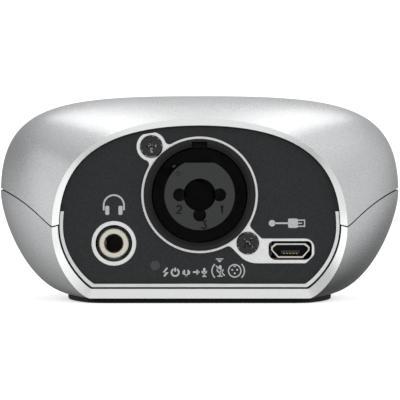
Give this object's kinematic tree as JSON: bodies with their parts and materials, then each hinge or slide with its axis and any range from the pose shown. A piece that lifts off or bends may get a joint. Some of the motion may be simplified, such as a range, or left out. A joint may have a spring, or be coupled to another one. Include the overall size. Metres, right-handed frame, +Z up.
{
  "type": "desktop audio interface",
  "caption": "Small rounded metal desktop microphone interface and headphone amplifier with a combined microphone socket, a headphone socket, a USB socket and push keys.",
  "frame": {"origin": "centre of the object's footprint box, on the surface it stands on", "axes": "+Z up; -Y is the way the connector panel faces; +Y is the leaning control face; +X to the right seen from the connector side"},
  "size_m": [0.0848, 0.07, 0.043],
  "materials": {
    "housing_silver": "bead-blasted, fine sand texture",
    "bare_plate": "satin bare metal",
    "panel_black": "fine-textured dark skin",
    "frame_silver": "satin",
    "pad_rubber": "matte",
    "screw_black": "black oxide",
    "screw_steel": "zinc plated",
    "barrel_black": "satin moulded plastic",
    "insert_grey": "matt moulded plastic",
    "contact_brass": "tin over brass",
    "ferrule_nickel": "nickel plate",
    "socket_black": "moulded plastic",
    "usb_steel": "tinned steel",
    "finger_gold": "gold plate",
    "board_green": "solder mask",
    "chip_black": "moulded epoxy",
    "can_silver": "drawn can",
    "coil_grey": "ferrite",
    "shield_tin": "tinned steel",
    "pipe_smoke": "smoked light pipe",
    "lamp_body": "lamp chip",
    "bezel_dark": "dark satin trim",
    "front_black": "polished black panel",
    "guide_white": "frosted light guide",
    "key_black": "soft-touch key",
    "switch_metal": "snap dome",
    "cable_white": "flat cable"
  },
  "bodies": {
    "housing": {"top_shell": "housing_silver", "bottom_shell": "housing_silver", "inner_frame": "frame_silver", "connector_plate": "bare_plate", "panel_skin": "panel_black", "foot_pad": "pad_rubber", "case_screws": "screw_black", "combo_housing": "barrel_black", "combo_floor": "barrel_black", "combo_insert": "insert_grey", "xlr_contact_1": "contact_brass", "xlr_contact_2": "contact_brass", "xlr_contact_3": "contact_brass", "combo_block": "socket_black", "combo_pins": "contact_brass", "combo_screws": "screw_black", "phones_ferrule": "ferrule_nickel", "phones_body": "socket_black", "phones_tails": "contact_brass", "usb_shell": "usb_steel", "usb_tongue": "socket_black", "usb_contacts": "finger_gold", "lamp_pipe": "pipe_smoke", "supply_lamp": "lamp_body", "main_board": "board_green", "board_screws": "screw_steel", "codec_chip": "chip_black", "controller_chip": "chip_black", "clock_crystal": "can_silver", "capacitor_1": "can_silver", "capacitor_2": "can_silver", "capacitor_3": "can_silver", "power_coil": "coil_grey", "preamp_shield": "shield_tin", "front_bezel": "bezel_dark", "front_glass": "front_black", "light_guide": "guide_white", "front_board": "board_green", "mute_switch": "switch_metal", "select_switch": "switch_metal", "cable_socket_main": "socket_black", "cable_socket_front": "socket_black", "flat_cable": "cable_white", "level_lamp_1": "lamp_body", "level_lamp_2": "lamp_body", "level_lamp_3": "lamp_body", "level_lamp_4": "lamp_body", "level_lamp_5": "lamp_body"},
    "mute_key": {"mute_key": "key_black"},
    "select_key": {"select_key": "key_black"},
    "plug_spring_tip": {"plug_spring_tip": "contact_brass"},
    "plug_spring_ring": {"plug_spring_ring": "contact_brass"},
    "plug_spring_sleeve": {"plug_spring_sleeve": "contact_brass"},
    "phones_spring_tip": {"phones_spring_tip": "contact_brass"},
    "phones_spring_ring": {"phones_spring_ring": "contact_brass"}
  },
  "joints": [
    {"name": "mute_key_press", "type": "slide", "parent": "housing", "child": "mute_key", "axis": [0, -0.9135, -0.4067], "range_m": [0, 0.0005], "stiffness_N_per_m": 1200},
    {"name": "select_key_press", "type": "slide", "parent": "housing", "child": "select_key", "axis": [0, -0.9135, -0.4067], "range_m": [0, 0.0005], "stiffness_N_per_m": 1200},
    {"name": "plug_spring_tip_flex", "type": "hinge", "parent": "housing", "child": "plug_spring_tip", "pos_m": [0, -0.011, 0.02615], "axis": [1, 0, 0], "range_deg": [0, 8], "stiffness_Nm_per_rad": 0.05},
    {"name": "plug_spring_ring_flex", "type": "hinge", "parent": "housing", "child": "plug_spring_ring", "pos_m": [0.0042, -0.011, 0.02195], "axis": [0, 0, -1], "range_deg": [0, 8], "stiffness_Nm_per_rad": 0.05},
    {"name": "plug_spring_sleeve_flex", "type": "hinge", "parent": "housing", "child": "plug_spring_sleeve", "pos_m": [-0.0042, -0.011, 0.02195], "axis": [0, 0, 1], "range_deg": [0, 8], "stiffness_Nm_per_rad": 0.05},
    {"name": "phones_spring_tip_flex", "type": "hinge", "parent": "housing", "child": "phones_spring_tip", "pos_m": [-0.01985, -0.026, 0.0121], "axis": [0, 0, 1], "range_deg": [0, 4], "stiffness_Nm_per_rad": 0.05},
    {"name": "phones_spring_ring_flex", "type": "hinge", "parent": "housing", "child": "phones_spring_ring", "pos_m": [-0.01495, -0.026, 0.0121], "axis": [0, 0, -1], "range_deg": [0, 4], "stiffness_Nm_per_rad": 0.05}
  ]
}
